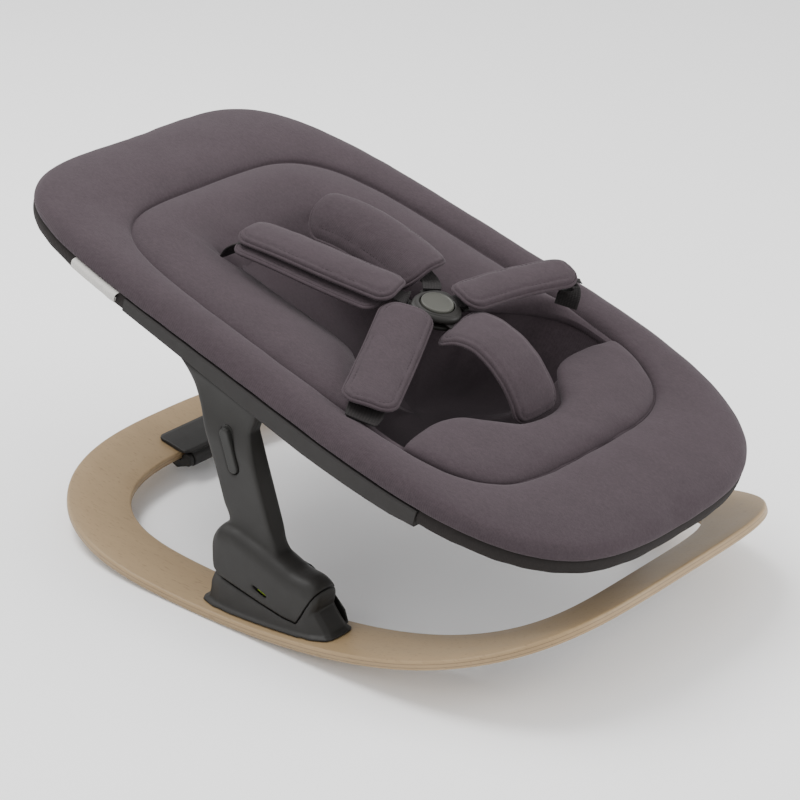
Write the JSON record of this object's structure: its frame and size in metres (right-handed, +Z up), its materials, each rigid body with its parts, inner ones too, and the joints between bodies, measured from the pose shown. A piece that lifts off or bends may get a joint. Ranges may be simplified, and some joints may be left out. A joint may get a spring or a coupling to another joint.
{
  "type": "bouncer seat",
  "caption": "Low rocking baby seat: padded oval seat with a sewn well and padded harness, on two clip-off legs over a closed ring of bent plywood.",
  "frame": {"origin": "middle of the bounding box's base, on the floor under the object", "axes": "+Z up, +Y towards the head end, +X across, towards the sitter's right when facing the head end"},
  "size_m": [0.4894, 0.74, 0.3573],
  "materials": {
    "plywood": "clear matt lacquer on pale beech veneer",
    "plastic": "fine matt texture",
    "plastic_inner": "fine matt texture",
    "rail_plastic": "fine matt texture",
    "steel": "zinc plated",
    "tube": "drawn tube",
    "green": "moulded green",
    "fabric": "fine twill over wadding",
    "dark_fabric": "plain weave lining",
    "webbing": "woven webbing",
    "button": "satin",
    "label": "woven tape, blank"
  },
  "bodies": {
    "base": {"rocker_ring": "plywood", "foot_left": "plastic", "foot_screw_left_1": "steel", "foot_screw_left_2": "steel", "foot_right": "plastic", "foot_screw_right_1": "steel", "foot_screw_right_2": "steel", "stopper_base": "plastic", "stopper_pin": "steel", "stopper_screw_1": "steel", "stopper_screw_2": "steel"},
    "stopper": {"stopper_flap": "plastic"},
    "leg_unit": {"leg_outer_shell_left": "plastic", "leg_inner_shell_left": "plastic", "leg_screw_left": "steel", "pivot_bolt_left": "steel", "pivot_washer_left": "steel", "leg_outer_shell_right": "plastic", "leg_inner_shell_right": "plastic", "leg_screw_right": "steel", "pivot_bolt_right": "steel", "pivot_washer_right": "steel"},
    "button_left": {"release_button_left": "plastic_inner", "button_spring_left": "steel"},
    "button_right": {"release_button_right": "plastic_inner", "button_spring_right": "steel"},
    "latch_left": {"latch_rod_left": "steel", "lock_indicator_left": "green"},
    "latch_right": {"latch_rod_right": "steel", "lock_indicator_right": "green"},
    "seat": {"side_rail_left": "rail_plastic", "side_rail_right": "rail_plastic", "head_tube": "tube", "head_sleeve": "dark_fabric", "foot_tube": "tube", "foot_sleeve": "dark_fabric", "seat_pad": "fabric", "legrest_pad": "fabric", "hammock": "dark_fabric", "side_label": "label", "shoulder_pad_left": "fabric", "shoulder_strap_left": "webbing", "waist_pad_left": "fabric", "waist_strap_left": "webbing", "shoulder_tongue_left": "plastic", "waist_tongue_left": "plastic", "shoulder_pad_right": "fabric", "shoulder_strap_right": "webbing", "waist_pad_right": "fabric", "waist_strap_right": "webbing", "shoulder_tongue_right": "plastic", "waist_tongue_right": "plastic", "crotch_pad": "fabric", "crotch_strap": "webbing", "buckle_back": "plastic", "buckle_front": "plastic"},
    "buckle_press": {"buckle_button": "button", "buckle_spring": "steel"}
  },
  "joints": [
    {"name": "stopper_flip", "type": "hinge", "parent": "base", "child": "stopper", "pos_m": [0, 0.2552, 0.0215], "axis": [1, 0, 0], "range_deg": [0, 180]},
    {"name": "seat_lift", "type": "slide", "parent": "base", "child": "leg_unit", "axis": [0, 0.3007, 0.9537], "range_m": [0, 0.05]},
    {"name": "seat_recline", "type": "hinge", "parent": "leg_unit", "child": "seat", "pos_m": [0, 0.07794, 0.26054], "axis": [1, 0, 0], "range_deg": [-10, 0]},
    {"name": "button_press_left", "type": "slide", "parent": "leg_unit", "child": "button_left", "axis": [1, 0, 0], "range_m": [0, 0.0035], "stiffness_N_per_m": 400, "springref_m": -0.002},
    {"name": "button_press_right", "type": "slide", "parent": "leg_unit", "child": "button_right", "axis": [-1, 0, 0], "range_m": [0, 0.0035], "stiffness_N_per_m": 400, "springref_m": -0.002},
    {"name": "latch_lift_left", "type": "slide", "parent": "leg_unit", "child": "latch_left", "axis": [0, 0.3007, 0.9537], "range_m": [0, 0.0056]},
    {"name": "latch_lift_right", "type": "slide", "parent": "leg_unit", "child": "latch_right", "axis": [0, 0.3007, 0.9537], "range_m": [0, 0.0056]},
    {"name": "buckle_button_press", "type": "slide", "parent": "seat", "child": "buckle_press", "axis": [0, 0.2706, -0.9627], "range_m": [0, 0.002], "stiffness_N_per_m": 400, "springref_m": -0.002}
  ],
  "couplings": [
    {"joint": "latch_lift_left", "follows": "button_press_left", "ratio": 1.6},
    {"joint": "latch_lift_right", "follows": "button_press_right", "ratio": 1.6}
  ]
}
